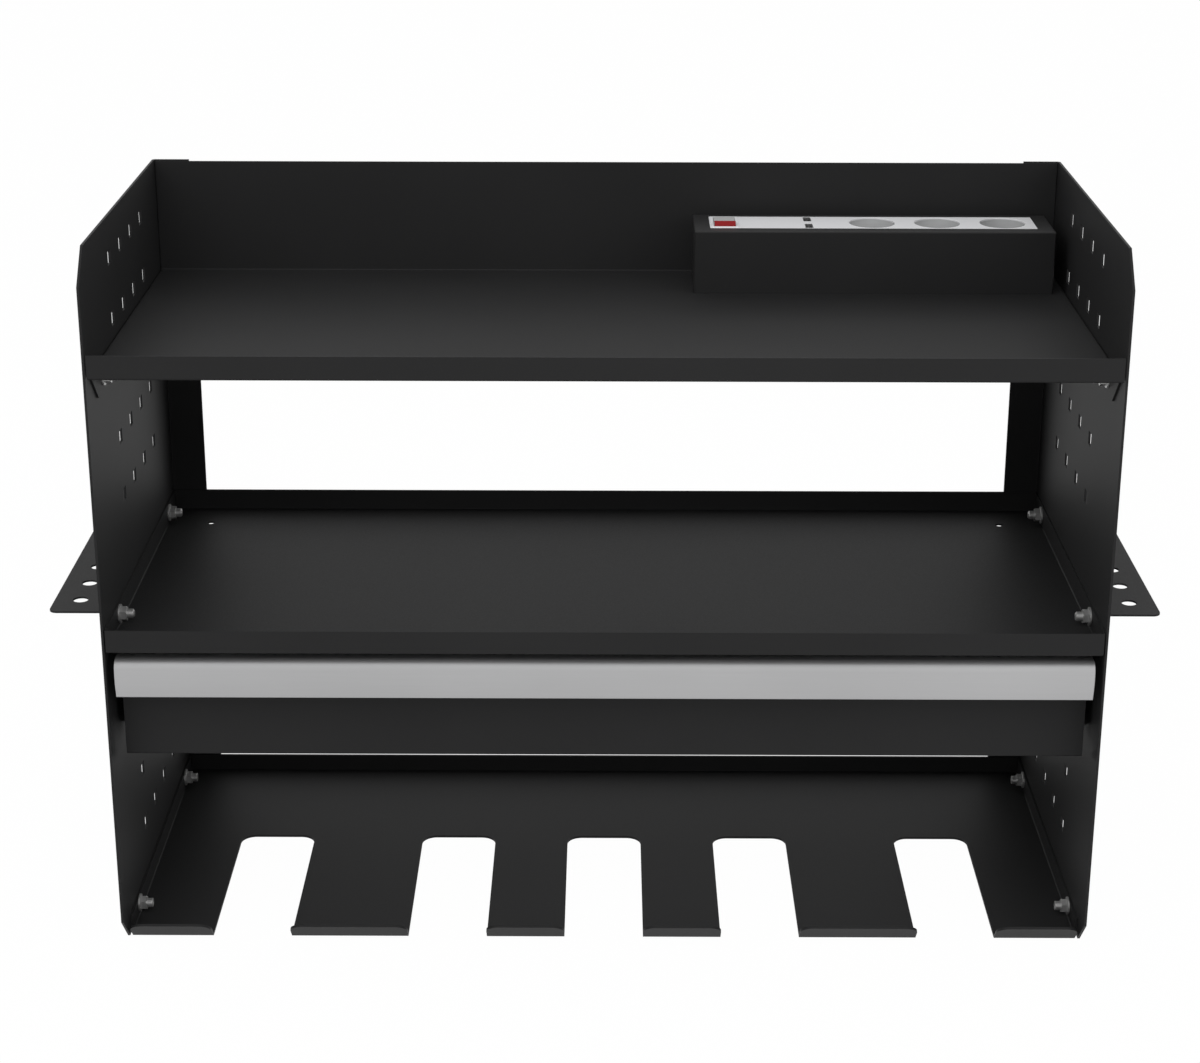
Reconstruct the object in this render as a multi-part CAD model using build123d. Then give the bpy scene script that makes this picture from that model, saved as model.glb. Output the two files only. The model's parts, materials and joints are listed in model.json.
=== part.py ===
from build123d import *
import os
from math import atan2, cos, degrees, radians, sin

# Power tool rack of folded sheet steel, in millimetres.
# X to the right, Y to the rear, Z up, origin on the ground under the middle of the rack.
# A setback is a distance behind the front edge of the side panels.

# Rack, outside the side panels
width = 740.0
depth = 321.0
height = 548.5

# Side panels
panel_sheet = 1.8
panel_bend = 1.0
return_width = 30.0
top_chamfer_run = 22.4
top_chamfer_drop = 25.0
low_chamfer_run = 21.7
low_chamfer_rise = 23.0

# Square peg holes in the side panels, with rows above the ground, the middle shelf and the tray
peg_hole = 10.5
peg_rear_inset = 77.1
peg_pitch_y = 43.8
peg_columns = 4
peg_pitch_z = 46.4
peg_rows = 2
low_peg_rise = 53.8
middle_peg_rise = 85.9
tray_peg_rise = 15.65

# Wall fixings in the rear returns
wall_hole = 7.0
wall_hole_z = 105.0
keyhole_top_gap = 38.5
keyhole_slot = 6.6
keyhole_entry = 13.0
keyhole_drop = 14.0

# Tray and middle shelf
shelf_sheet = 1.5
shelf_bend = 1.0
corner_gap = 0.1
fold_relief = 0.4
tray_drop = 92.75
tray_lip = 18.2
tray_back_gap = 1.0
tray_side_drop = 25.0
tray_flange_setback = 35.4
tray_bolt_drop = 12.6
middle_floor_z = 246.3
middle_lip = 18.2
accessory_hole = 6.0
accessory_inset_x = 36.9
accessory_inset_y = 39.5

# Tool holder shelf
holder_sheet = 2.0
holder_bend = 1.0
holder_flange = 16.2
holder_lip = 22.5
holder_lip_corner = 10.0
holder_end_gap = 2.2
slot_width = 61.0
slot_depth = 168.3
slot_corner = 12.0
slot_inner_pitch = 121.3
slot_side_inset = 95.4

# M6 bolts and locking flange nuts that join the shelves to the panels
bolt_d = 6.0
tray_bolt_length = 16.0
middle_bolt_length = 16.0
holder_bolt_length = 14.0
bolt_head_d = 10.5
bolt_head_h = 3.3
bolt_key = 4.0
bolt_hole = 6.6
nut_key = 10.0
nut_height = 5.9
nut_flange_d = 14.2
nut_flange_h = 1.2
nut_collar_d = 7.2
nut_collar_h = 4.6
nut_collar_round = 0.8
nut_thread_gap = 0.1
nut_floor_gap = 0.1
front_bolt_setback = 56.0
rear_bolt_inset = 37.0

# Screwdriver racks
wing_sheet = 1.5
wing_bend = 1.0
wing_reach = 44.4
wing_setback = 30.0
wing_rear_gap = 3.0
wing_rise = 11.9
wing_leg_drop = 9.0
wing_corner = 6.0
wing_hole = 11.4
wing_hole_reach = 24.9
wing_hole_first = 24.3
wing_hole_pitch = 35.0
wing_hole_margin = 15.0

# M4 screws and nuts of the drawer and the power strip
screw_d = 4.0
screw_head_d = 7.5
screw_head_h = 2.2
screw_hole = 4.4
screw_key = 2.5
small_nut_key = 7.0
small_nut_h = 3.2

# M3 countersunk screws at the ends of the power strip
end_screw_d = 3.0
end_screw_head_d = 5.5
end_screw_gap = 0.2
end_screw_key = 2.0
end_screw_key_depth = 1.0

# Drawer
drawer_gap = 6.25
drawer_side_gap = 5.8
drawer_setback = 27.0
drawer_sheet = 1.2
drawer_bend = 1.0
drawer_front_height = 82.4
drawer_front_flange = 14.0
drawer_front_hem = 10.0
box_sheet = 1.0
box_bend = 1.0
box_rise = 3.0
box_top_gap = 9.4
stud_length = 7.0
stud_inner_x = 100.0
stud_end_inset = 62.4
stud_z = 36.0

# Handle profile
handle_sheet = 2.2
handle_height = 29.8
handle_pad = 5.0
handle_pad_reach = 6.0
handle_front_gap = 0.9
handle_nose_run = 8.1
handle_nose_drop = 7.4
handle_tail_back = 2.3
handle_screw_bite = 3.8
handle_screw_roof = 0.2

# Telescopic ball slides, sold in steps of length, with x counted from the panel,
# set back from the front of the drawer box
slide_step = 50.0
slide_setback = 30.0
slide_rear_gap = 10.0
slide_height = 45.7
slide_sheet = 1.2
slide_bend = 0.5
slide_axis_rise = 33.0
slide_lip_x = 9.8
slide_lip = 2.95
middle_member_x = 4.3
middle_member_tip = 11.0
inner_member_x = 11.5
inner_member_tip = 7.8
outer_ball = 3.5
inner_ball = 2.6
ball_gap = 0.3
outer_ball_x = 5.9
inner_ball_x = 9.4
cage_sheet = 0.6
cage_start = 65.0
cage_length = 120.0
cage_pocket_gap = 0.1
outer_cage_x = 2.9
outer_cage_tip = 8.2
inner_cage_x = 6.4
inner_cage_tip = 11.4
balls_per_row = 8
slide_screw_ends = 30.0
slide_screw_count = 3
slide_screw_stickout = 1.2

# Power strip
strip_length = 286.4
strip_height = 50.5
strip_wall = 2.0
strip_top = 3.0
strip_edge = 1.2
strip_side_gap = 11.4
strip_back_gap = 13.7
strip_end_border = 12.8
strip_front_border = 12.2
strip_back_border = 7.6
panel_gap = 0.15
face_sheet = 1.5
face_margin = 1.75
face_ledge = 1.7
base_sheet = 1.5
base_gap = 0.3
base_tab = 14.0
base_screw_inset = 14.0
base_tab_screw_z = 8.0

# Round sockets
socket_d = 36.5
socket_depth = 18.5
socket_wall = 1.7
socket_floor = 2.5
socket_count = 3
socket_pitch = 52.4
socket_end = 25.4
pin_pitch = 19.0
pin_hole = 5.5
sleeve_d = 6.4
sleeve_bore = 5.0
sleeve_length = 12.0
bus_width = 7.0
bus_sheet = 1.2
bus_overhang = 14.0
earth_sheet = 0.8
earth_width = 5.0
earth_proud = 1.0
earth_top_drop = 6.0
earth_slot_gap = 0.4
carrier_wall = 9.0

# Rocker switch
switch_end = 12.0
switch_bezel_width = 22.4
switch_bezel_length = 37.4
switch_bezel = 0.5
switch_bezel_rim = 1.2
switch_neck_gap = 0.2
switch_wall = 1.2
switch_body_drop = 16.0
rocker_side_gap = 0.4
rocker_end_gap = 1.1
rocker_pivot_drop = 2.2
rocker_rise = 4.9
rocker_dip = 3.1
rocker_keel = 5.0
rocker_keel_length = 16.0
rocker_tilt = 7.0
rocker_pin_d = 2.6
rocker_pin_gap = 0.3
rocker_pin_bite = 0.8
lens_sheet = 0.9

# USB charger
usb_switch_gap = 67.2
usb_socket_gap = 51.4
usb_pitch = 23.1
usb_width = 5.8
usb_length = 14.0
usb_depth = 13.0
usb_wall = 0.4
usb_hole_gap = 0.2
tongue_width = 1.9
tongue_length = 11.6
tongue_drop = 1.5
charger_width = 20.0
charger_margin = 2.5

# Mains lead passage
gland_bore = 7.5
gland_thread_d = 12.0
gland_collar_d = 18.0
gland_collar_h = 5.0
gland_nose_d = 13.5
gland_nose_h = 3.0
gland_nut_h = 4.0
gland_hole_gap = 0.2
gland_end = 34.8
gland_z = 21.0
grommet_hole = 22.0
grommet_flange = 3.0
grommet_bore = 15.0
grommet_front_h = 2.0

# Places worked out from the sizes above
front = -depth / 2
rear = depth / 2
outside = width / 2
inside = outside - panel_sheet
shelf_rear = rear - panel_sheet
lip_half = inside - panel_bend - corner_gap
shelf_radius = shelf_bend + shelf_sheet
tray_floor_z = height - tray_drop
tray_top = tray_floor_z + shelf_sheet
middle_top = middle_floor_z + shelf_sheet
tray_bolt_z = tray_floor_z - tray_bolt_drop
middle_bolt_z = middle_top + shelf_bend + nut_floor_gap + nut_flange_d / 2
holder_bolt_z = holder_sheet + holder_bend + nut_floor_gap + nut_flange_d / 2
bolt_ys = (front + front_bolt_setback, rear - rear_bolt_inset)
keyhole_z = height - keyhole_top_gap
lip_angle = degrees(atan2(low_chamfer_rise, low_chamfer_run))
holder_front = front + low_chamfer_run
slot_outer_x = inside - slot_side_inset
slot_xs = (-slot_outer_x, -slot_inner_pitch, 0.0, slot_inner_pitch, slot_outer_x)

drawer_front_y = front + drawer_setback
handle_top = middle_floor_z - drawer_gap
drawer_top = handle_top - handle_pad
drawer_low = drawer_top - drawer_front_height
drawer_half = inside - drawer_side_gap
box_y = drawer_front_y + drawer_sheet
box_low = drawer_low + box_rise
box_height = drawer_front_height - box_rise - box_top_gap
slide_width = inner_member_x + slide_sheet
box_half = inside - slide_width
stud_xs = [side * x for side in (-1, 1) for x in (stud_inner_x, drawer_half - stud_end_inset)]
slide_y = box_y + slide_setback
slide_length = slide_step * ((shelf_rear - slide_rear_gap - slide_y) // slide_step)
slide_z = box_low + slide_axis_rise
box_rear = slide_y + slide_length
outer_track = slide_height / 2 - slide_sheet
outer_ball_z = outer_track - ball_gap - outer_ball / 2
middle_half = outer_ball_z - outer_ball / 2 - ball_gap
middle_track = middle_half - slide_sheet
inner_ball_z = middle_track - ball_gap - inner_ball / 2
inner_half = inner_ball_z - inner_ball / 2 - ball_gap
slide_screw_step = (slide_length - 2 * slide_screw_ends) / (slide_screw_count - 1)
slide_screw_ys = [slide_y + slide_screw_ends + n * slide_screw_step for n in range(slide_screw_count)]

face_depth = max(socket_d, usb_pitch + usb_length, switch_bezel_length) + 2 * face_margin
strip_depth = strip_front_border + face_depth + strip_back_border
strip_right = inside - strip_side_gap
strip_left = strip_right - strip_length
strip_rear = shelf_rear - shelf_sheet - strip_back_gap
strip_front = strip_rear - strip_depth
strip_z = tray_top + strip_height
cover_low = strip_z - strip_top
face_left = strip_left + strip_end_border
face_right = strip_right - strip_end_border
face_front = strip_front + strip_front_border
face_rear = strip_rear - strip_back_border
face_y = (face_front + face_rear) / 2
face_low = strip_z - face_sheet
socket_left = face_right - socket_end - (socket_count - 1) * socket_pitch
socket_xs = [socket_left + n * socket_pitch for n in range(socket_count)]
cup_low = strip_z - socket_depth - socket_floor
sleeve_low = cup_low - sleeve_length
base_top = tray_top + base_sheet
base_screw_xs = (strip_left + base_screw_inset, strip_right - base_screw_inset)
switch_x = face_left + switch_end
pivot_z = strip_z - rocker_pivot_drop
usb_share = usb_switch_gap / (usb_switch_gap + usb_socket_gap)
usb_x = switch_x + (socket_left - switch_x) * usb_share
gland_x = strip_right - gland_end
gland_height = tray_top + gland_z


# Helpers

def bent_face(points, sheet, bend):
    # Section of a bent sheet: the points follow its outside, with the metal on their left
    path = FilletPolyline(*points, radius=bend + sheet)
    return Face(Wire(path.edges()).offset_2d(sheet, side=Side.LEFT, closed=True))


def along_x(face, start, end):
    # A section drawn as (y, z), stretched along X
    return extrude(Plane.YZ.offset(start).location * face, amount=end - start, dir=(1, 0, 0))


def along_y(face, start, end):
    # A section drawn as (x, z), stretched along Y
    return extrude(Plane.XZ.offset(-start).location * face, amount=end - start, dir=(0, 1, 0))


def block(x0, x1, y0, y1, z0, z1):
    return Pos((x0 + x1) / 2, (y0 + y1) / 2, (z0 + z1) / 2) * Box(x1 - x0, y1 - y0, z1 - z0)


def rod_x(diameter, x0, x1, y, z):
    return Pos((x0 + x1) / 2, y, z) * Rot(0, 90, 0) * Cylinder(diameter / 2, x1 - x0)


def rod_y(diameter, y0, y1, x, z):
    return Pos(x, (y0 + y1) / 2, z) * Rot(90, 0, 0) * Cylinder(diameter / 2, y1 - y0)


def rod_z(diameter, z0, z1, x, y):
    return Pos(x, y, (z0 + z1) / 2) * Cylinder(diameter / 2, z1 - z0)


def tube_z(outer, bore, z0, z1, x, y):
    return rod_z(outer, z0, z1, x, y) - rod_z(bore, z0, z1, x, y)


def mirrored(shape):
    return mirror(shape, about=Plane.YZ)


def group(shapes):
    return Compound(children=list(shapes))


def save(node, shape):
    export_step(shape, f"parts/{node}.step")


# Fasteners, made with their seat at the origin and their shank along +Z

def cap_screw(shank_d, length, head_d, head_h, key):
    head = Pos(0, 0, -head_h / 2) * Cylinder(head_d / 2, head_h)
    head = fillet(head.edges().group_by(Axis.Z)[0], head_h * 0.45)
    shank = Pos(0, 0, length / 2) * Cylinder(shank_d / 2, length)
    shank = chamfer(shank.edges().group_by(Axis.Z)[-1], shank_d * 0.08)
    recess = extrude(RegularPolygon(key / 2, 6, major_radius=False), amount=head_h * 0.55)
    return head + shank - Pos(0, 0, -head_h) * recess


def hex_nut(key, height, bore, flange_d=0.0, flange_h=0.0):
    # The flange, where there is one, lies on the seat
    nut = extrude(RegularPolygon(key / 2, 6, major_radius=False), amount=height)
    corner = key / cos(radians(30)) / 2
    crown = Pos(0, 0, height / 2) * Cylinder(corner, height)
    crown = chamfer(crown.edges().group_by(Axis.Z)[-1], (corner - key / 2) * 0.6)
    nut = nut & crown
    if flange_d:
        skirt = (flange_d - key) / 2
        nut += Pos(0, 0, flange_h / 2) * Cylinder(flange_d / 2, flange_h)
        nut += Pos(0, 0, flange_h + skirt / 10) * Cone(flange_d / 2, key / 2, skirt / 5)
    return nut - Pos(0, 0, height / 2) * Cylinder(bore / 2, height)


def bolt(length):
    return cap_screw(bolt_d, length, bolt_head_d, bolt_head_h, bolt_key)


def flange_nut():
    # The locking ring sits in a round collar beyond the hexagon
    bore = bolt_d + 2 * nut_thread_gap
    middle = Pos(0, 0, nut_height + nut_collar_h / 2)
    collar = middle * Cylinder(nut_collar_d / 2, nut_collar_h)
    collar = fillet(collar.edges().group_by(Axis.Z)[-1], min(nut_collar_round, (nut_collar_d - bore) * 0.45))
    collar -= middle * Cylinder(bore / 2, nut_collar_h)
    return hex_nut(nut_key, nut_height, bore, nut_flange_d, nut_flange_h) + collar


def screw(length):
    return cap_screw(screw_d, length, screw_head_d, screw_head_h, screw_key)


def screw_sink():
    # Countersunk head, flush with the origin
    depth = (end_screw_head_d - end_screw_d) / 2
    return Pos(0, 0, depth / 2) * Cone(end_screw_head_d / 2, end_screw_d / 2, depth)


def countersunk_screw(length):
    shank = Pos(0, 0, length / 2) * Cylinder(end_screw_d / 2, length)
    recess = extrude(RegularPolygon(end_screw_key / 2, 6, major_radius=False), amount=end_screw_key_depth)
    return screw_sink() + shank - recess


def small_nut():
    return hex_nut(small_nut_key, small_nut_h, screw_d + 2 * nut_thread_gap)


inward = Rot(0, 90, 0)
forward = Rot(90, 0, 0)
rearward = Rot(-90, 0, 0)


# Side panels

def keyhole(x):
    # The screw's head goes in below and its neck slides up into the slot
    slot = rod_y(keyhole_slot, rear - panel_sheet, rear, x, keyhole_z)
    neck = block(
        x - keyhole_slot / 2, x + keyhole_slot / 2, rear - panel_sheet, rear,
        keyhole_z - keyhole_drop, keyhole_z)
    entry = rod_y(keyhole_entry, rear - panel_sheet, rear, x, keyhole_z - keyhole_drop)
    return slot + neck + entry


def peg_holes(low_z):
    holes = []
    for row in range(peg_rows):
        for column in range(peg_columns):
            y = rear - peg_rear_inset - column * peg_pitch_y
            z = low_z + row * peg_pitch_z
            holes.append(block(
                -outside, -inside, y - peg_hole / 2, y + peg_hole / 2,
                z - peg_hole / 2, z + peg_hole / 2))
    return holes


def left_panel():
    plan = [(-outside + return_width, rear), (-outside, rear), (-outside, front)]
    sheet = extrude(bent_face(plan, panel_sheet, panel_bend), amount=height, dir=(0, 0, 1))
    outline = Polygon(
        (front, low_chamfer_rise),
        (front, height - top_chamfer_drop),
        (front + top_chamfer_run, height),
        (rear, height),
        (rear, 0),
        (front + low_chamfer_run, 0),
        align=None)
    panel = sheet & along_x(outline.face(), -outside, -outside + return_width)
    for low_z in (low_peg_rise, middle_floor_z + middle_peg_rise, tray_floor_z + tray_peg_rise):
        panel -= peg_holes(low_z)
    for z in (tray_bolt_z, middle_bolt_z, holder_bolt_z):
        for y in bolt_ys:
            panel -= rod_x(bolt_hole, -outside, -inside, y, z)
    for y in slide_screw_ys:
        panel -= rod_x(screw_hole, -outside, -inside, y, slide_z)
    fixing_x = -outside + return_width / 2
    panel -= rod_y(wall_hole, rear - panel_sheet, rear, fixing_x, wall_hole_z)
    panel -= keyhole(fixing_x)
    return panel


# Shelves

def side_bolt_holes(shelf, flange_sheet, z):
    for side in (-1, 1):
        for y in bolt_ys:
            x0, x1 = sorted((side * inside, side * (inside - flange_sheet)))
            shelf -= rod_x(bolt_hole, x0, x1, y, z)
    return shelf


def floor_edge(low, sheet, radius, y0, y1):
    # The strips of a flat floor that give way to the bends of the side flanges
    strips = [
        block(side * inside - radius, side * inside + radius, y0, y1, low, low + sheet)
        for side in (-1, 1)
    ]
    return strips[0] + strips[1]


def top_tray():
    long_section = [
        (front, tray_floor_z + tray_lip),
        (front, tray_floor_z),
        (shelf_rear, tray_floor_z),
        (shelf_rear, height - tray_back_gap),
    ]
    tray = along_x(bent_face(long_section, shelf_sheet, shelf_bend), -lip_half, lip_half)
    y0 = front + shelf_radius + fold_relief
    y1 = shelf_rear - shelf_radius - fold_relief
    flange_low = tray_top - tray_side_drop
    cross_section = [
        (inside, flange_low),
        (inside, tray_top),
        (-inside, tray_top),
        (-inside, flange_low),
    ]
    flanges = along_y(bent_face(cross_section, shelf_sheet, shelf_bend), y0, y1)
    slant = tray_flange_setback - (y0 - front)
    corner = Polygon((y0, flange_low), (y0, flange_low + slant), (y0 + slant, flange_low), align=None)
    flanges -= along_x(corner.face(), -inside, inside)
    tray = tray - floor_edge(tray_floor_z, shelf_sheet, shelf_radius, y0, y1) + flanges
    tray = side_bolt_holes(tray, shelf_sheet, tray_bolt_z)
    for x in base_screw_xs:
        tray -= rod_z(screw_hole, tray_floor_z, tray_top, x, face_y)
    return tray - rod_y(grommet_hole, shelf_rear - shelf_sheet, shelf_rear, gland_x, gland_height)


def middle_shelf():
    rim = middle_floor_z + middle_lip
    long_section = [(front, rim), (front, middle_floor_z), (shelf_rear, middle_floor_z), (shelf_rear, rim)]
    shelf = along_x(bent_face(long_section, shelf_sheet, shelf_bend), -lip_half, lip_half)
    y0 = front + shelf_radius + fold_relief
    y1 = shelf_rear - shelf_radius - fold_relief
    cross_section = [(-inside, rim), (-inside, middle_floor_z), (inside, middle_floor_z), (inside, rim)]
    flanges = along_y(bent_face(cross_section, shelf_sheet, shelf_bend), y0, y1)
    shelf = shelf - floor_edge(middle_floor_z, shelf_sheet, shelf_radius, y0, y1) + flanges
    shelf = side_bolt_holes(shelf, shelf_sheet, middle_bolt_z)
    for side in (-1, 1):
        x = side * (inside - accessory_inset_x)
        shelf -= rod_z(accessory_hole, middle_floor_z, middle_top, x, rear - accessory_inset_y)
    return shelf


def holder_slot(x):
    # Open towards the front, and past the lip
    y0 = front - slot_width
    y1 = holder_front + slot_depth
    cut = block(x - slot_width / 2, x + slot_width / 2, y0, y1, 0, holder_lip)
    back_corners = cut.edges().filter_by(Axis.Z).group_by(Axis.Y)[-1]
    return fillet(back_corners, slot_corner)


def lip_corner_cuts(x0, x1):
    # What rounding takes off the two upper corners of one finger's lip, square to the lip
    tilt = radians(lip_angle)
    slope = Plane(origin=((x0 + x1) / 2, holder_front, 0), x_dir=(1, 0, 0), z_dir=(0, -sin(tilt), -cos(tilt)))
    blank = Rectangle(x1 - x0, holder_lip, align=(Align.CENTER, Align.MIN))
    rounded = fillet(blank.vertices().group_by(Axis.Y)[-1], holder_lip_corner)
    return extrude(slope.location * (blank - rounded), amount=2 * holder_sheet, both=True)


def tool_holder_shelf():
    run = holder_lip * cos(radians(lip_angle))
    rise = holder_lip * sin(radians(lip_angle))
    long_section = [
        (holder_front - run, rise),
        (holder_front, 0),
        (shelf_rear, 0),
        (shelf_rear, holder_flange),
    ]
    radius = holder_bend + holder_sheet
    end = inside - holder_end_gap
    shelf = along_x(bent_face(long_section, holder_sheet, holder_bend), -end, end)
    y0 = holder_front + radius
    y1 = shelf_rear - radius - fold_relief
    cross_section = [(-inside, holder_flange), (-inside, 0), (inside, 0), (inside, holder_flange)]
    flanges = along_y(bent_face(cross_section, holder_sheet, holder_bend), y0, y1)
    shelf = shelf - floor_edge(0, holder_sheet, radius, y0, y1) + flanges
    for x in slot_xs:
        shelf -= holder_slot(x)
    edges = [-end]
    for x in slot_xs:
        edges += [x - slot_width / 2, x + slot_width / 2]
    edges.append(end)
    for x0, x1 in zip(edges[::2], edges[1::2]):
        shelf -= lip_corner_cuts(x0, x1)
    return side_bolt_holes(shelf, holder_sheet, holder_bolt_z)


# Bolts and nuts of a shelf: heads outside the panels, nuts inside the shelf's flanges

def shelf_bolts(z, under_head, length):
    left = [Pos(-under_head, y, z) * inward * bolt(length) for y in bolt_ys]
    return group(left + [mirrored(piece) for piece in left])


def shelf_nuts(z, flange_sheet):
    left = [Pos(-inside + flange_sheet, y, z) * inward * flange_nut() for y in bolt_ys]
    return group(left + [mirrored(piece) for piece in left])


# Screwdriver racks

def left_wing():
    top = middle_bolt_z + wing_rise
    section = [
        (-outside, middle_bolt_z - wing_leg_drop),
        (-outside, top),
        (-outside - wing_reach, top),
    ]
    y0 = front + wing_setback
    y1 = rear - wing_rear_gap
    wing = along_y(bent_face(section, wing_sheet, wing_bend), y0, y1)
    corners = wing.edges().filter_by(Axis.Z).group_by(Axis.X)[0]
    wing = fillet(corners, wing_corner)
    y = y0 + wing_hole_first
    while y < y1 - wing_hole_margin:
        wing -= rod_z(wing_hole, top - wing_sheet, top, -outside - wing_hole_reach, y)
        y += wing_hole_pitch
    for y in bolt_ys:
        wing -= rod_x(bolt_hole, -outside - wing_sheet, -outside, y, middle_bolt_z)
    return wing


# Drawer

def drawer_box():
    # Floor and sides of one folded sheet
    top = box_low + box_height
    section = [(-box_half, top), (-box_half, box_low), (box_half, box_low), (box_half, top)]
    box = along_y(bent_face(section, box_sheet, box_bend), box_y, box_rear)
    for y in slide_screw_ys:
        for side in (-1, 1):
            x0, x1 = sorted((side * box_half, side * (box_half - box_sheet)))
            box -= rod_x(screw_hole, x0, x1, y, slide_z)
    return box


def drawer_box_ends():
    # Front and rear walls, welded in between the sides
    half = box_half - box_sheet
    walls = []
    for y in (box_y, box_rear - box_sheet):
        wall = block(-half, half, y, y + box_sheet, box_low + box_sheet, box_low + box_height)
        walls.append(fillet(wall.edges().filter_by(Axis.Y).group_by(Axis.Z)[0], box_bend))
    for x in stud_xs:
        walls[0] -= rod_y(screw_hole, box_y, box_y + box_sheet, x, box_low + stud_z)
    return group(walls)


def handle_screw_y():
    return drawer_front_y + drawer_front_flange / 2


def drawer_front():
    y0 = drawer_front_y
    section = [
        (y0 + drawer_front_flange, drawer_top),
        (y0, drawer_top),
        (y0, drawer_low),
        (y0 + drawer_front_hem, drawer_low),
    ]
    panel = along_x(bent_face(section, drawer_sheet, drawer_bend), -drawer_half, drawer_half)
    for x in stud_xs:
        panel += rod_y(screw_d, box_y, box_y + stud_length, x, box_low + stud_z)
        panel -= rod_z(screw_hole, drawer_top - drawer_sheet, drawer_top, x, handle_screw_y())
    return panel


def drawer_front_nuts():
    return group(Pos(x, box_y + box_sheet, box_low + stud_z) * rearward * small_nut() for x in stud_xs)


def drawer_handle():
    nose = front + handle_front_gap
    top = Line(
        (drawer_front_y + drawer_front_flange, handle_top),
        (nose + handle_nose_run, handle_top))
    curl = TangentArc(
        (nose + handle_nose_run, handle_top),
        (nose, handle_top - handle_nose_drop),
        tangent=(-1, 0))
    skirt = TangentArc(
        curl @ 1, (nose + handle_tail_back, handle_top - handle_height), tangent=curl % 1)
    outline = Wire(top.edges() + curl.edges() + skirt.edges())
    section = Face(outline.offset_2d(handle_sheet, side=Side.LEFT, closed=True))
    handle = along_x(section, -drawer_half, drawer_half)
    pad_front = drawer_front_y - handle_pad_reach
    handle += block(
        -drawer_half, drawer_half, pad_front, drawer_front_y + drawer_front_flange,
        drawer_top, handle_top)
    for x in stud_xs:
        handle -= rod_z(
            screw_d, drawer_top, drawer_top + handle_screw_bite + handle_screw_roof, x, handle_screw_y())
    return handle


def handle_screws():
    seat = drawer_top - drawer_sheet
    length = drawer_sheet + handle_screw_bite
    return group(Pos(x, handle_screw_y(), seat) * screw(length) for x in stud_xs)


# Ball slides, drawn on the left side

def slide_section(points):
    return bent_face([(-inside + x, slide_z + z) for x, z in points], slide_sheet, slide_bend)


def tapped(member, x0, x1):
    for y in slide_screw_ys:
        member -= rod_x(screw_d + 2 * nut_thread_gap, -inside + x0, -inside + x1, y, slide_z)
    return member


def slide_outer():
    half = slide_height / 2
    lip_end = half - slide_lip
    section = slide_section([
        (slide_lip_x, lip_end), (slide_lip_x, half), (0, half),
        (0, -half), (slide_lip_x, -half), (slide_lip_x, -lip_end)])
    return tapped(along_y(section, slide_y, slide_y + slide_length), 0, slide_sheet)


def slide_middle():
    section = slide_section([
        (middle_member_tip, middle_half), (middle_member_x, middle_half),
        (middle_member_x, -middle_half), (middle_member_tip, -middle_half)])
    return along_y(section, slide_y, slide_y + slide_length)


def slide_inner():
    section = slide_section([
        (inner_member_tip, -inner_half), (slide_width, -inner_half),
        (slide_width, inner_half), (inner_member_tip, inner_half)])
    member = along_y(section, slide_y, slide_y + slide_length)
    return tapped(member, inner_member_x, slide_width)


def ball_places(ball_x, ball_z):
    step = cage_length / balls_per_row
    return [
        (-inside + ball_x, slide_y + cage_start + (n + 0.5) * step, slide_z + side * ball_z)
        for side in (-1, 1)
        for n in range(balls_per_row)
    ]


def ball_cage(web_x, tip_x, ball_x, ball_z, ball_d):
    reach = ball_z + cage_sheet / 2
    points = [(tip_x, reach), (web_x, reach), (web_x, -reach), (tip_x, -reach)]
    section = bent_face(
        [(-inside + x, slide_z + z) for x, z in points], cage_sheet, slide_bend)
    cage = along_y(section, slide_y + cage_start, slide_y + cage_start + cage_length)
    for x, y, z in ball_places(ball_x, ball_z):
        cage -= rod_z(ball_d + 2 * cage_pocket_gap, z - cage_sheet, z + cage_sheet, x, y)
    return cage


def balls(ball_x, ball_z, ball_d):
    return group(Pos(*place) * Sphere(ball_d / 2) for place in ball_places(ball_x, ball_z))


def slide_panel_screws():
    length = panel_sheet + slide_sheet + slide_screw_stickout
    left = [Pos(-outside, y, slide_z) * inward * screw(length) for y in slide_screw_ys]
    return group(left + [mirrored(piece) for piece in left])


def slide_drawer_screws():
    length = box_sheet + slide_sheet + slide_screw_stickout
    outward = Rot(0, -90, 0)
    left = [Pos(-box_half + box_sheet, y, slide_z) * outward * screw(length) for y in slide_screw_ys]
    return group(left + [mirrored(piece) for piece in left])


# Power strip

def end_screw_places():
    z = base_top + base_tab_screw_z
    return [
        Pos(strip_left, face_y, z) * inward,
        Pos(strip_right, face_y, z) * Rot(0, -90, 0)]


def strip_housing():
    # Four walls, with the cover on their upper edge and the base between them
    walls = block(strip_left, strip_right, strip_front, strip_rear, tray_top, cover_low)
    walls = fillet(walls.edges().filter_by(Axis.Z), strip_edge)
    walls -= block(
        strip_left + strip_wall, strip_right - strip_wall, strip_front + strip_wall,
        strip_rear - strip_wall, tray_top, cover_low)
    screw_bore = end_screw_d + 2 * end_screw_gap
    for x0, x1 in ((strip_left, strip_left + strip_wall), (strip_right - strip_wall, strip_right)):
        walls -= rod_x(screw_bore, x0, x1, face_y, base_top + base_tab_screw_z)
    for place in end_screw_places():
        walls -= place * screw_sink()
    hole = gland_thread_d + 2 * gland_hole_gap
    return walls - rod_y(hole, strip_rear - strip_wall, strip_rear, gland_x, gland_height)


def strip_cover():
    # The face panel lies on a ledge at each end of the opening
    cover = block(strip_left, strip_right, strip_front, strip_rear, cover_low, strip_z)
    upper = cover.edges().group_by(Axis.Z)[-1]
    upright = cover.edges().filter_by(Axis.Z)
    cover = fillet(upper + upright, strip_edge)
    cover -= block(
        face_left - panel_gap, face_right + panel_gap, face_front - panel_gap, face_rear + panel_gap,
        face_low, strip_z)
    return cover - block(
        face_left + face_ledge, face_right - face_ledge, face_front - panel_gap, face_rear + panel_gap,
        cover_low, face_low)


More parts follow.
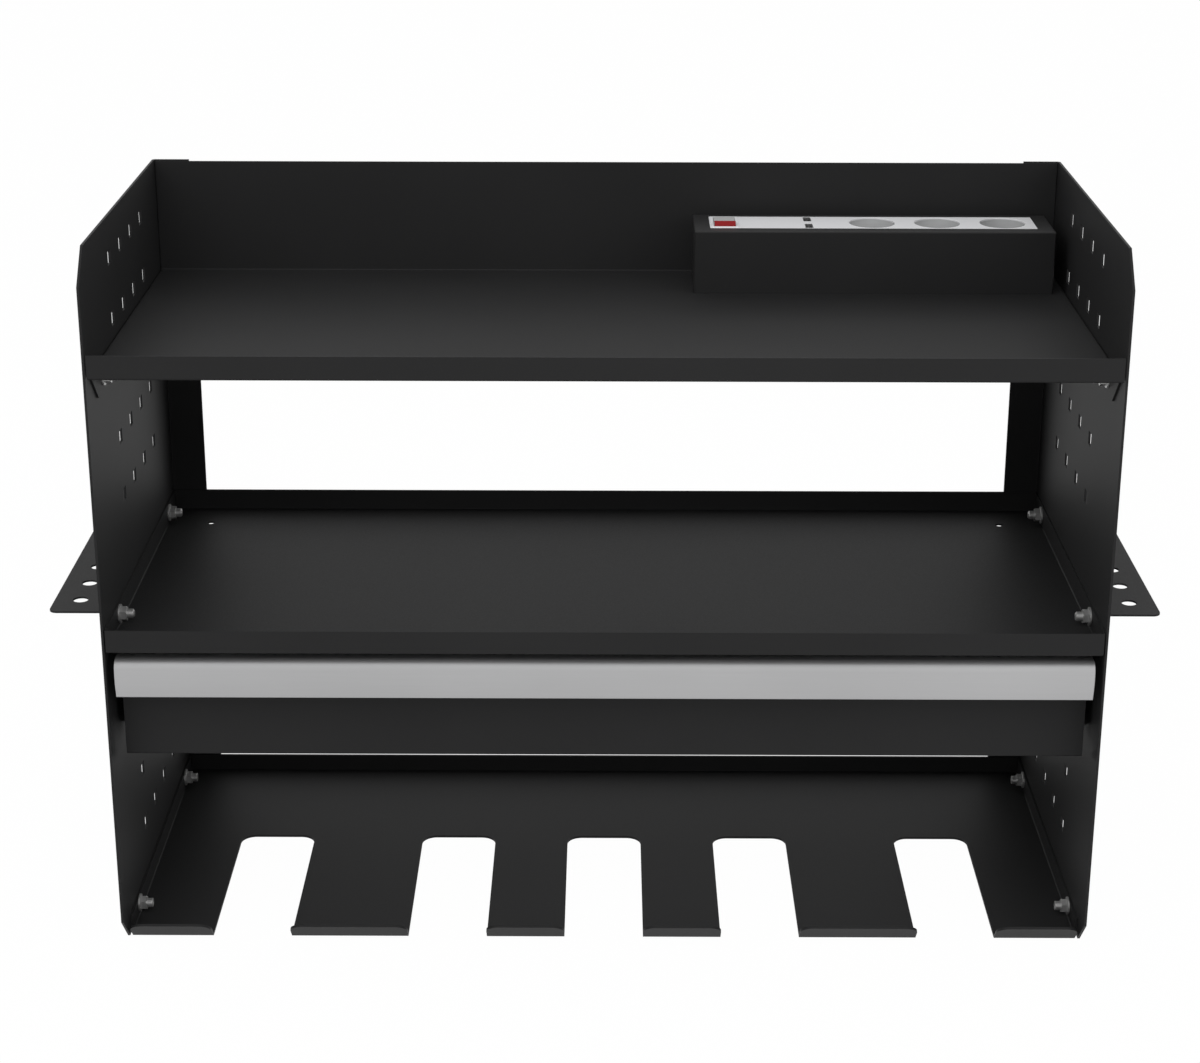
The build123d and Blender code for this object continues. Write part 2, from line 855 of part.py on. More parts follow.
def strip_base():
    x0 = strip_left + strip_wall
    x1 = strip_right - strip_wall
    section = [(x0, tray_top + base_tab), (x0, tray_top), (x1, tray_top), (x1, tray_top + base_tab)]
    base = along_y(
        bent_face(section, base_sheet, shelf_bend),
        strip_front + strip_wall + base_gap, strip_rear - strip_wall - base_gap)
    for x in base_screw_xs:
        base -= rod_z(screw_hole, tray_top, base_top, x, face_y)
    for start, end in ((x0, x0 + base_sheet), (x1 - base_sheet, x1)):
        base -= rod_x(end_screw_d, start, end, face_y, base_top + base_tab_screw_z)
    return base


def strip_end_screws():
    length = strip_wall + base_sheet + slide_screw_stickout
    return group(place * countersunk_screw(length) for place in end_screw_places())


def strip_floor_screws():
    length = shelf_sheet + base_sheet + small_nut_h + slide_screw_stickout
    return group(Pos(x, face_y, tray_floor_z) * screw(length) for x in base_screw_xs)


def strip_floor_nuts():
    return group(Pos(x, face_y, base_top) * small_nut() for x in base_screw_xs)


def switch_neck():
    return (
        switch_bezel_width - 2 * switch_bezel_rim,
        switch_bezel_length - 2 * switch_bezel_rim)


def face_panel():
    panel = block(face_left, face_right, face_front, face_rear, face_low, strip_z)
    for x in socket_xs:
        panel -= rod_z(socket_d, face_low, strip_z, x, face_y)
    neck_x, neck_y = (size / 2 + switch_neck_gap for size in switch_neck())
    panel -= block(switch_x - neck_x, switch_x + neck_x, face_y - neck_y, face_y + neck_y, face_low, strip_z)
    half_x = usb_width / 2 + usb_hole_gap
    half_y = usb_length / 2 + usb_hole_gap
    for y in usb_ys():
        panel -= block(usb_x - half_x, usb_x + half_x, y - half_y, y + half_y, face_low, strip_z)
    return panel


def socket_cup(x):
    outer_d = socket_d + 2 * socket_wall
    cup = rod_z(outer_d, cup_low, face_low, x, face_y)
    cup -= rod_z(socket_d, cup_low + socket_floor, face_low, x, face_y)
    for side in (-1, 1):
        cup -= rod_z(pin_hole, cup_low, cup_low + socket_floor, x, face_y + side * pin_pitch / 2)
        x0, x1 = sorted((
            x + side * (socket_d / 2 - earth_proud - earth_slot_gap),
            x + side * (socket_d / 2 - earth_proud + earth_sheet + earth_slot_gap)))
        half = earth_width / 2 + earth_slot_gap
        cup -= block(x0, x1, face_y - half, face_y + half, cup_low, strip_z - earth_top_drop + earth_slot_gap)
    return cup


def socket_contacts():
    return group(
        tube_z(sleeve_d, sleeve_bore, sleeve_low, cup_low, x, face_y + side * pin_pitch / 2)
        for x in socket_xs
        for side in (-1, 1))


def earth_clips():
    clips = []
    for x in socket_xs:
        half = socket_d / 2 - earth_proud + earth_sheet
        low = cup_low - earth_sheet
        top = strip_z - earth_top_drop
        section = [(x - half, top), (x - half, low), (x + half, low), (x + half, top)]
        face = bent_face(section, earth_sheet, earth_sheet / 2)
        clips.append(along_y(face, face_y - earth_width / 2, face_y + earth_width / 2))
    return group(clips)


def bus_bar(y, z1):
    return block(
        socket_xs[0] - bus_overhang, socket_xs[-1] + bus_overhang,
        y - bus_width / 2, y + bus_width / 2, z1 - bus_sheet, z1)


def contact_carrier():
    # Insulating rails under the bus bars, joined by a floor, with a taller rib for the earth bar
    x0 = socket_xs[0] - bus_overhang
    x1 = socket_xs[-1] + bus_overhang
    half = pin_pitch / 2 + carrier_wall / 2
    floor = block(x0, x1, face_y - half, face_y + half, base_top, base_top + socket_floor)
    for side in (-1, 1):
        y = face_y + side * pin_pitch / 2
        floor += block(
            x0, x1, y - carrier_wall / 2, y + carrier_wall / 2, base_top, sleeve_low - bus_sheet)
    rib = (pin_pitch - sleeve_d) / 4
    return floor + block(
        x0, x1, face_y - rib, face_y + rib, base_top, cup_low - earth_sheet - bus_sheet)


def usb_ys():
    return (face_y - usb_pitch / 2, face_y + usb_pitch / 2)


def usb_ports():
    low = strip_z - usb_depth
    shells = []
    for y in usb_ys():
        shell = block(
            usb_x - usb_width / 2, usb_x + usb_width / 2, y - usb_length / 2, y + usb_length / 2,
            low, strip_z)
        shells.append(shell - block(
            usb_x - usb_width / 2 + usb_wall, usb_x + usb_width / 2 - usb_wall,
            y - usb_length / 2 + usb_wall, y + usb_length / 2 - usb_wall, low + usb_wall, strip_z))
    return group(shells)


def usb_tongues():
    low = strip_z - usb_depth + usb_wall
    return group(
        block(
            usb_x - tongue_width / 2, usb_x + tongue_width / 2,
            y - tongue_length / 2, y + tongue_length / 2, low, strip_z - tongue_drop)
        for y in usb_ys())


def usb_charger():
    half_y = usb_pitch / 2 + usb_length / 2 + charger_margin
    case = block(
        usb_x - charger_width / 2, usb_x + charger_width / 2, face_y - half_y, face_y + half_y,
        base_top, strip_z - usb_depth)
    return fillet(case.edges().filter_by(Axis.Z), charger_margin)


# Rocker switch

def switch_frame():
    neck_x, neck_y = switch_neck()
    bezel_top = strip_z + switch_bezel
    frame = block(
        switch_x - switch_bezel_width / 2, switch_x + switch_bezel_width / 2,
        face_y - switch_bezel_length / 2, face_y + switch_bezel_length / 2, strip_z, bezel_top)
    frame = chamfer(frame.edges().group_by(Axis.Z)[-1], switch_bezel * 0.4)
    low = strip_z - switch_body_drop
    frame += block(
        switch_x - neck_x / 2, switch_x + neck_x / 2, face_y - neck_y / 2, face_y + neck_y / 2, low, strip_z)
    frame -= block(
        switch_x - neck_x / 2 + switch_wall, switch_x + neck_x / 2 - switch_wall,
        face_y - neck_y / 2 + switch_wall, face_y + neck_y / 2 - switch_wall,
        low + switch_wall, bezel_top)
    pin_hole_d = rocker_pin_d + 2 * rocker_pin_gap
    return frame - rod_x(pin_hole_d, switch_x - neck_x / 2, switch_x + neck_x / 2, face_y, pivot_z)


def rocker_half_width():
    return switch_neck()[0] / 2 - switch_wall - rocker_side_gap


def rocker_half_length():
    return switch_neck()[1] / 2 - switch_wall - rocker_end_gap


def rocker_turned(shape):
    # Tilted about its pin, with the front end up
    pin = Axis((switch_x, face_y, pivot_z), (1, 0, 0))
    return shape.rotate(pin, -rocker_tilt)


def lens_inner_corner():
    # Reach and height of the corner under the lens, which covers the front half and its end
    end = rocker_half_length()
    reach = end - lens_sheet
    return reach, rocker_dip + (rocker_rise - rocker_dip) * reach / end - lens_sheet


def rocker_wedge():
    end = rocker_half_length()
    reach, rise = lens_inner_corner()
    return Polygon(
        (face_y - reach, pivot_z),
        (face_y - reach, pivot_z + rise),
        (face_y, pivot_z + rocker_dip - lens_sheet),
        (face_y, pivot_z + rocker_dip),
        (face_y + end, pivot_z + rocker_rise),
        (face_y + end, pivot_z),
        (face_y + rocker_keel_length / 2, pivot_z - rocker_keel),
        (face_y - rocker_keel_length / 2, pivot_z - rocker_keel),
        align=None)


def rocker():
    half = rocker_half_width()
    body = along_x(rocker_wedge().face(), switch_x - half, switch_x + half)
    pin = half + rocker_side_gap + rocker_pin_bite
    body += rod_x(rocker_pin_d, switch_x - pin, switch_x + pin, face_y, pivot_z)
    return rocker_turned(body)


def rocker_lens():
    end = rocker_half_length()
    half = rocker_half_width()
    reach, rise = lens_inner_corner()
    section = Polygon(
        (face_y - end, pivot_z),
        (face_y - end, pivot_z + rocker_rise),
        (face_y, pivot_z + rocker_dip),
        (face_y, pivot_z + rocker_dip - lens_sheet),
        (face_y - reach, pivot_z + rise),
        (face_y - reach, pivot_z),
        align=None)
    return rocker_turned(along_x(section.face(), switch_x - half, switch_x + half))


# Mains lead passage

def cable_gland():
    start = strip_rear - strip_wall - gland_nut_h
    nose = strip_rear + gland_collar_h
    gland = rod_y(gland_thread_d, start, strip_rear, gland_x, gland_height)
    gland += rod_y(gland_collar_d, strip_rear, nose, gland_x, gland_height)
    gland += rod_y(gland_nose_d, nose, nose + gland_nose_h, gland_x, gland_height)
    return gland - rod_y(gland_bore, start, nose + gland_nose_h, gland_x, gland_height)


def cable_gland_nut():
    nut = hex_nut(gland_collar_d, gland_nut_h, gland_thread_d + 2 * nut_thread_gap)
    return Pos(gland_x, strip_rear - strip_wall, gland_height) * forward * nut


def cable_grommet():
    wall_front = shelf_rear - shelf_sheet
    flange_d = grommet_hole + 2 * grommet_flange
    ring = rod_y(flange_d, wall_front - grommet_front_h, wall_front, gland_x, gland_height)
    ring = fillet(ring.edges().group_by(Axis.Y)[0], grommet_front_h * 0.6)
    ring += rod_y(grommet_hole, wall_front, shelf_rear, gland_x, gland_height)
    ring += rod_y(flange_d, shelf_rear, rear, gland_x, gland_height)
    return ring - rod_y(grommet_bore, wall_front - grommet_front_h, rear, gland_x, gland_height)


def main():
    os.makedirs("parts", exist_ok=True)

    for name, shape in (("side_panel", left_panel()), ("screwdriver_rack", left_wing())):
        save(f"left_{name}", shape)
        save(f"right_{name}", mirrored(shape))
    save("top_tray", top_tray())
    save("middle_shelf", middle_shelf())
    save("tool_holder_shelf", tool_holder_shelf())

    save("tray_bolts", shelf_bolts(tray_bolt_z, outside, tray_bolt_length))
    save("tray_nuts", shelf_nuts(tray_bolt_z, shelf_sheet))
    save("middle_shelf_bolts", shelf_bolts(middle_bolt_z, outside + wing_sheet, middle_bolt_length))
    save("middle_shelf_nuts", shelf_nuts(middle_bolt_z, shelf_sheet))
    save("holder_bolts", shelf_bolts(holder_bolt_z, outside, holder_bolt_length))
    save("holder_nuts", shelf_nuts(holder_bolt_z, holder_sheet))

    save("drawer_box", drawer_box())
    save("drawer_box_ends", drawer_box_ends())
    save("drawer_front", drawer_front())
    save("drawer_front_nuts", drawer_front_nuts())
    save("drawer_handle", drawer_handle())
    save("handle_screws", handle_screws())

    slide_pieces = {
        "slide_outer_member": slide_outer(),
        "slide_middle_member": slide_middle(),
        "slide_inner_member": slide_inner(),
        "outer_ball_cage": ball_cage(outer_cage_x, outer_cage_tip, outer_ball_x, outer_ball_z, outer_ball),
        "inner_ball_cage": ball_cage(inner_cage_x, inner_cage_tip, inner_ball_x, inner_ball_z, inner_ball),
        "outer_balls": balls(outer_ball_x, outer_ball_z, outer_ball),
        "inner_balls": balls(inner_ball_x, inner_ball_z, inner_ball),
    }
    for name, shape in slide_pieces.items():
        save(f"left_{name}", shape)
        save(f"right_{name}", mirrored(shape))
    save("slide_panel_screws", slide_panel_screws())
    save("slide_drawer_screws", slide_drawer_screws())

    save("strip_housing", strip_housing())
    save("strip_cover", strip_cover())
    save("strip_base", strip_base())
    save("strip_end_screws", strip_end_screws())
    save("strip_floor_screws", strip_floor_screws())
    save("strip_floor_nuts", strip_floor_nuts())
    save("strip_face_panel", face_panel())
    for name, x in zip(("left", "middle", "right"), socket_xs):
        save(f"{name}_socket", socket_cup(x))
    save("socket_contacts", socket_contacts())
    save("earth_clips", earth_clips())
    save("line_bus_bar", bus_bar(face_y + pin_pitch / 2, sleeve_low))
    save("neutral_bus_bar", bus_bar(face_y - pin_pitch / 2, sleeve_low))
    save("earth_bus_bar", bus_bar(face_y, cup_low - earth_sheet))
    save("contact_carrier", contact_carrier())
    save("usb_ports", usb_ports())
    save("usb_tongues", usb_tongues())
    save("usb_charger", usb_charger())
    save("switch_frame", switch_frame())
    save("rocker", rocker())
    save("rocker_lens", rocker_lens())
    save("cable_gland", cable_gland())
    save("cable_gland_nut", cable_gland_nut())
    save("cable_grommet", cable_grommet())


main()
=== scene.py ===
# Power tool rack with a drawer and a power strip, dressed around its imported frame
import json
import math

import bmesh
import bpy
from mathutils import Matrix, Vector

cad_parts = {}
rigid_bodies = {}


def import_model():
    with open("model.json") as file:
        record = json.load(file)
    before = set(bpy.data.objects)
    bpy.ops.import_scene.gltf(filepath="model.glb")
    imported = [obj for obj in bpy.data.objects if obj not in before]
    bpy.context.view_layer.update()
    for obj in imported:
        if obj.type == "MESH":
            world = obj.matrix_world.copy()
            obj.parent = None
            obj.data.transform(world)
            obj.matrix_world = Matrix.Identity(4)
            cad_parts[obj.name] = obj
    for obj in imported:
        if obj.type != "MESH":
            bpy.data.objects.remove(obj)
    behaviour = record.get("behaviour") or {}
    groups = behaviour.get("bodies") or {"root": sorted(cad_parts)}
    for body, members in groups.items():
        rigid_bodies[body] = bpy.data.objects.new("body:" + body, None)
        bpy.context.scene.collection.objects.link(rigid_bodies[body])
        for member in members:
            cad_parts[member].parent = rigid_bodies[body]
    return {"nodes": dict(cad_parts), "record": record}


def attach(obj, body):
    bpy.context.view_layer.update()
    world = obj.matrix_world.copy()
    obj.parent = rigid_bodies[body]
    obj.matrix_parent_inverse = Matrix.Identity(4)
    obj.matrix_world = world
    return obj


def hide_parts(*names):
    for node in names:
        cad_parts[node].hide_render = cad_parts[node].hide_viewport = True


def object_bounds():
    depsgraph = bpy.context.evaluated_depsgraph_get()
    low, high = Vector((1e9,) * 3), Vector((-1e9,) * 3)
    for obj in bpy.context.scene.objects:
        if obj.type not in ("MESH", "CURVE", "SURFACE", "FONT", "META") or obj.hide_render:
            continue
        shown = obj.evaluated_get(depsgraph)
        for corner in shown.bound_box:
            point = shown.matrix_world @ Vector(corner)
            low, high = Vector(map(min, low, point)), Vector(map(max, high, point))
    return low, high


for leftover in list(bpy.data.objects):
    bpy.data.objects.remove(leftover)

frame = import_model()
cadLow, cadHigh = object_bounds()
nodes = frame["nodes"]
bodies = frame["record"]["behaviour"]["bodies"]
bodyOf = {node: body for body, members in bodies.items() for node in members}
scene = bpy.context.scene
scene.view_settings.view_transform = "Standard"
print("frame loaded,", len(nodes), "nodes")


# Camera at the photograph's viewing angle
photoCamera = {
    "place": (0.00069, -1.86936, 0.96572),
    "lens": 75.466,
    "sensor": 36.0,
    "farthest": 60.0,
    "pitch": 20.009,            # degrees down
    "yaw": 0.140,
    "roll": 0.1253,
}


def setCamera(spec):
    pitch, yaw, roll = (math.radians(spec[key]) for key in ("pitch", "yaw", "roll"))
    level = math.cos(pitch)
    forward = Vector((-math.sin(yaw) * level, math.cos(yaw) * level, -math.sin(pitch)))
    across = Vector((math.cos(yaw), math.sin(yaw), 0))
    right = math.cos(roll) * across + math.sin(roll) * across.cross(forward)
    up = right.cross(forward)
    lens = bpy.data.cameras.new("photoCamera")
    lens.sensor_fit = "HORIZONTAL"
    lens.sensor_width = spec["sensor"]
    lens.lens = spec["lens"]
    lens.clip_end = spec["farthest"]
    camera = bpy.data.objects.new("photoCamera", lens)
    turn = Matrix((right, up, -forward)).transposed().to_4x4()
    camera.matrix_world = Matrix.Translation(spec["place"]) @ turn
    scene.collection.objects.link(camera)
    scene.camera = camera


setCamera(photoCamera)
print("camera set")


# Shader helpers
def addNode(tree, kind, **values):
    node = tree.nodes.new(kind)
    for key, value in values.items():
        setattr(node, key, value)
    return node


def newGroup(name, inputs, outputs):
    group = bpy.data.node_groups.new(name, "ShaderNodeTree")
    for label, kind, value in inputs:
        socket = group.interface.new_socket(label, in_out="INPUT", socket_type=kind)
        if value is not None:
            socket.default_value = value
    for label, kind in outputs:
        group.interface.new_socket(label, in_out="OUTPUT", socket_type=kind)
    return group, addNode(group, "NodeGroupInput"), addNode(group, "NodeGroupOutput")


# Noise behind the finishes, and the middle part of its range that is used
noise = {
    "fineDetail": 3.0, "fineRough": 0.55, "slowDetail": 4.0, "slowRough": 0.5,
    "lineDetail": 4.0, "lineRough": 0.6, "lineSlowDetail": 3.0,
    "from": 0.3, "to": 0.7,
}


# Fine skin of a sprayed or moulded surface, with slow patches under it
def makeSkinGroup():
    group, given, result = newGroup(
        "skinGrain",
        [("Vector", "NodeSocketVector", None), ("Grain Scale", "NodeSocketFloat", 900.0),
         ("Patch Scale", "NodeSocketFloat", 9.0)],
        [("Grain", "NodeSocketFloat"), ("Patch", "NodeSocketFloat")])
    link = group.links.new
    fine = addNode(group, "ShaderNodeTexNoise", noise_dimensions="3D")
    fine.inputs["Detail"].default_value = noise["fineDetail"]
    fine.inputs["Roughness"].default_value = noise["fineRough"]
    slow = addNode(group, "ShaderNodeTexNoise", noise_dimensions="3D")
    slow.inputs["Detail"].default_value = noise["slowDetail"]
    slow.inputs["Roughness"].default_value = noise["slowRough"]
    link(given.outputs["Vector"], fine.inputs["Vector"])
    link(given.outputs["Vector"], slow.inputs["Vector"])
    link(given.outputs["Grain Scale"], fine.inputs["Scale"])
    link(given.outputs["Patch Scale"], slow.inputs["Scale"])
    link(fine.outputs["Fac"], result.inputs["Grain"])
    link(slow.outputs["Fac"], result.inputs["Patch"])
    return group


# Long fine lines of a drawn or brushed metal, along the stretched axis
def makeBrushGroup():
    group, given, result = newGroup(
        "brushLines",
        [("Vector", "NodeSocketVector", None),
         ("Stretch", "NodeSocketVector", (20.0, 2500.0, 2500.0)),
         ("Patch Scale", "NodeSocketFloat", 14.0)],
        [("Lines", "NodeSocketFloat"), ("Patch", "NodeSocketFloat")])
    link = group.links.new
    pulled = addNode(group, "ShaderNodeVectorMath", operation="MULTIPLY")
    lines = addNode(group, "ShaderNodeTexNoise", noise_dimensions="3D")
    lines.inputs["Scale"].default_value = 1.0
    lines.inputs["Detail"].default_value = noise["lineDetail"]
    lines.inputs["Roughness"].default_value = noise["lineRough"]
    slow = addNode(group, "ShaderNodeTexNoise", noise_dimensions="3D")
    slow.inputs["Detail"].default_value = noise["lineSlowDetail"]
    link(given.outputs["Vector"], pulled.inputs[0])
    link(given.outputs["Stretch"], pulled.inputs[1])
    link(pulled.outputs["Vector"], lines.inputs["Vector"])
    link(given.outputs["Vector"], slow.inputs["Vector"])
    link(given.outputs["Patch Scale"], slow.inputs["Scale"])
    link(lines.outputs["Fac"], result.inputs["Lines"])
    link(slow.outputs["Fac"], result.inputs["Patch"])
    return group


skinGroup = makeSkinGroup()
brushGroup = makeBrushGroup()


def ranged(tree, source, low, high):
    ramp = addNode(tree, "ShaderNodeMapRange")
    ramp.inputs["From Min"].default_value = noise["from"]
    ramp.inputs["From Max"].default_value = noise["to"]
    ramp.inputs["To Min"].default_value = low
    ramp.inputs["To Max"].default_value = high
    tree.links.new(source, ramp.inputs["Value"])
    return ramp.outputs["Result"]


def blended(tree, source, first, second):
    mix = addNode(tree, "ShaderNodeMix", data_type="RGBA")
    mix.inputs[6].default_value = (*first, 1.0)
    mix.inputs[7].default_value = (*second, 1.0)
    tree.links.new(ranged(tree, source, 0.0, 1.0), mix.inputs[0])
    return mix.outputs[2]


def shaded(colour, share):
    return tuple(min(1.0, part * share) for part in colour)


def startFinish(name, spec):
    finish = bpy.data.materials.new(name)
    finish.use_nodes = True
    tree = finish.node_tree
    tree.nodes.clear()
    surface = addNode(tree, "ShaderNodeBsdfPrincipled")
    output = addNode(tree, "ShaderNodeOutputMaterial")
    tree.links.new(surface.outputs["BSDF"], output.inputs["Surface"])
    place = addNode(tree, "ShaderNodeTexCoord")
    surface.inputs["Metallic"].default_value = spec.get("metallic", 0.0)
    surface.inputs["Specular IOR Level"].default_value = spec.get("specular", 0.5)
    surface.inputs["Coat Weight"].default_value = spec.get("coat", 0.0)
    surface.inputs["Coat Roughness"].default_value = spec.get("coatRoughness", 0.1)
    return finish, tree, surface, place.outputs["Object"]


def addBump(tree, surface, height, spec):
    bump = addNode(tree, "ShaderNodeBump")
    bump.inputs["Strength"].default_value = spec["bump"]
    bump.inputs["Distance"].default_value = spec["bumpDepth"]
    tree.links.new(height, bump.inputs["Height"])
    tree.links.new(bump.outputs["Normal"], surface.inputs["Normal"])


# Colour from the slow patches, roughness and bump from the fine grain
def spreadFinish(tree, surface, spec, patch, grain):
    vary, rough, roughVary = spec["vary"], spec["roughness"], spec["roughVary"]
    colour = blended(tree, patch, shaded(spec["colour"], 1 - vary), shaded(spec["colour"], 1 + vary))
    tree.links.new(colour, surface.inputs["Base Color"])
    tree.links.new(ranged(tree, grain, rough - roughVary, rough + roughVary), surface.inputs["Roughness"])
    addBump(tree, surface, grain, spec)


def skinFinish(name, spec):
    finish, tree, surface, place = startFinish(name, spec)
    skin = addNode(tree, "ShaderNodeGroup", node_tree=skinGroup)
    skin.inputs["Grain Scale"].default_value = spec["grainScale"]
    skin.inputs["Patch Scale"].default_value = spec["patchScale"]
    tree.links.new(place, skin.inputs["Vector"])
    spreadFinish(tree, surface, spec, skin.outputs["Patch"], skin.outputs["Grain"])
    return finish


def brushFinish(name, spec):
    finish, tree, surface, place = startFinish(name, spec)
    brush = addNode(tree, "ShaderNodeGroup", node_tree=brushGroup)
    brush.inputs["Stretch"].default_value = spec["stretch"]
    brush.inputs["Patch Scale"].default_value = spec["patchScale"]
    tree.links.new(place, brush.inputs["Vector"])
    spreadFinish(tree, surface, spec, brush.outputs["Patch"], brush.outputs["Lines"])
    return finish


blackCoat = {
    "colour": (0.0155, 0.0155, 0.0158), "vary": 0.07, "specular": 0.16,
    "roughness": 0.58, "roughVary": 0.05, "grainScale": 1100.0, "patchScale": 7.0,
    "bump": 0.22, "bumpDepth": 0.0002,
}
stripBlack = {
    "colour": (0.0145, 0.0145, 0.0148), "vary": 0.06, "specular": 0.22,
    "roughness": 0.55, "roughVary": 0.06, "grainScale": 2200.0, "patchScale": 12.0,
    "bump": 0.20, "bumpDepth": 0.0001,
}
blackPlastic = {
    "colour": (0.030, 0.030, 0.031), "vary": 0.08, "specular": 0.4,
    "roughness": 0.48, "roughVary": 0.07, "grainScale": 2600.0, "patchScale": 20.0,
    "bump": 0.20, "bumpDepth": 0.0001,
}
lightPanel = {
    "colour": (0.72, 0.725, 0.74), "vary": 0.02, "specular": 0.4,
    "roughness": 0.42, "roughVary": 0.05, "grainScale": 2400.0, "patchScale": 16.0,
    "bump": 0.10, "bumpDepth": 0.0001,
}
socketGrey = {
    "colour": (0.435, 0.44, 0.445), "vary": 0.03, "specular": 0.4,
    "roughness": 0.45, "roughVary": 0.06, "grainScale": 2400.0, "patchScale": 18.0,
    "bump": 0.12, "bumpDepth": 0.0001,
}
rockerGrey = {
    "colour": (0.42, 0.42, 0.42), "vary": 0.03, "specular": 0.4,
    "roughness": 0.45, "roughVary": 0.05, "grainScale": 2800.0, "patchScale": 30.0,
    "bump": 0.10, "bumpDepth": 0.0001,
}
rockerRed = {
    "colour": (0.27, 0.007, 0.009), "vary": 0.06, "specular": 0.3,
    "roughness": 0.40, "roughVary": 0.04, "grainScale": 1800.0, "patchScale": 40.0,
    "bump": 0.05, "bumpDepth": 0.0001,
}
grommetRubber = {
    "colour": (0.022, 0.022, 0.022), "vary": 0.12, "specular": 0.3,
    "roughness": 0.72, "roughVary": 0.08, "grainScale": 1500.0, "patchScale": 60.0,
    "bump": 0.30, "bumpDepth": 0.0001,
}
zincPlate = {
    "colour": (0.50, 0.50, 0.495), "vary": 0.10, "metallic": 0.72,
    "roughness": 0.42, "roughVary": 0.08, "grainScale": 1400.0, "patchScale": 90.0,
    "bump": 0.15, "bumpDepth": 0.0001,
}
ballSteel = {
    "colour": (0.72, 0.72, 0.72), "vary": 0.03, "metallic": 1.0,
    "roughness": 0.12, "roughVary": 0.03, "grainScale": 900.0, "patchScale": 60.0,
    "bump": 0.03, "bumpDepth": 0.0001,
}
contactBrass = {
    "colour": (0.70, 0.50, 0.20), "vary": 0.08, "metallic": 1.0,
    "roughness": 0.34, "roughVary": 0.08, "grainScale": 1600.0, "patchScale": 70.0,
    "bump": 0.10, "bumpDepth": 0.0001,
}
handleAluminium = {
    "colour": (0.455, 0.455, 0.46), "vary": 0.03, "metallic": 0.80,
    "roughness": 0.50, "roughVary": 0.05, "stretch": (16.0, 2600.0, 2600.0), "patchScale": 6.0,
    "bump": 0.10, "bumpDepth": 0.0001,
}
slideBlack = {
    "colour": (0.022, 0.022, 0.023), "vary": 0.10, "specular": 0.4,
    "roughness": 0.40, "roughVary": 0.07, "stretch": (2200.0, 14.0, 2200.0), "patchScale": 22.0,
    "bump": 0.10, "bumpDepth": 0.0001,
}
screwBlack = {
    "colour": (0.020, 0.020, 0.020), "vary": 0.15, "specular": 0.35,
    "roughness": 0.45, "roughVary": 0.08, "grainScale": 1800.0, "patchScale": 120.0,
    "bump": 0.12, "bumpDepth": 0.0001,
}
portSteel = {
    "colour": (0.45, 0.45, 0.45), "vary": 0.05, "metallic": 1.0,
    "roughness": 0.38, "roughVary": 0.06, "stretch": (900.0, 2600.0, 60.0), "patchScale": 80.0,
    "bump": 0.08, "bumpDepth": 0.0001,
}

finishes = {
    "black_coat": skinFinish("blackCoat", blackCoat),
    "strip_black": skinFinish("stripBlack", stripBlack),
    "black_plastic": skinFinish("blackPlastic", blackPlastic),
    "light_panel": skinFinish("lightPanel", lightPanel),
    "socket_grey": skinFinish("socketGrey", socketGrey),
    "rocker_grey": skinFinish("rockerGrey", rockerGrey),
    "rocker_red": skinFinish("rockerRed", rockerRed),
    "grommet_rubber": skinFinish("grommetRubber", grommetRubber),
    "zinc": skinFinish("zincPlate", zincPlate),
    "ball_steel": skinFinish("ballSteel", ballSteel),
    "contact_brass": skinFinish("contactBrass", contactBrass),
    "handle_aluminium": brushFinish("handleAluminium", handleAluminium),
    "slide_steel": brushFinish("slideBlack", slideBlack),
    "black_screw": skinFinish("screwBlack", screwBlack),
    "port_steel": brushFinish("portSteel", portSteel),
}
slotOf = {part["node"]: part["material_slot"] for part in frame["record"]["subparts"]}
for name, node in nodes.items():
    for place in node.material_slots:
        place.material = finishes[slotOf[name]]
print("finishes placed:", len(finishes))


# Sheet metal and mouldings with their edges taken off
softEdges = {
    "sheets": ("left_screwdriver_rack", "right_screwdriver_rack", "top_tray", "middle_shelf",
               "tool_holder_shelf", "drawer_front", "drawer_box", "drawer_box_ends"),
    "sheetEdge": 0.00015,
    "mouldings": ("strip_face_panel", "drawer_handle", "rocker", "switch_frame"),
    "mouldingEdge": 0.00030,
    "stripParts": (("strip_housing", "high"), ("strip_cover", "low")),  # and the end of Z at the seam
    "stripEdge": 0.00045,
    "sharpFrom": 35.0,          # degrees between faces
    "flatWithin": 0.3,          # degrees
    "mergeWithin": 1e-6,
    "onSide": 1e-5,
    "segments": 2, "profile": 0.5, "faceWeight": 100,
}


# Marks the corners of a box-like piece, but none along its seam, where a groove would open
def markCorners(shape, seam):
    low = [min(vert.co[axis] for vert in shape.verts) for axis in range(3)]
    high = [max(vert.co[axis] for vert in shape.verts) for axis in range(3)]
    mark = shape.edges.layers.float.new("bevel_weight_edge")
    for edge in shape.edges:
        sides = 0
        for axis in range(3):
            for end, limit in (("low", low), ("high", high)):
                if axis == 2 and end == seam:
                    continue
                away = max(abs(vert.co[axis] - limit[axis]) for vert in edge.verts)
                sides += away < softEdges["onSide"]
        edge[mark] = 1.0 if sides == 2 else 0.0
        edge.smooth = sides == 2 or edge.calc_face_angle(0.0) < math.radians(softEdges["sharpFrom"])


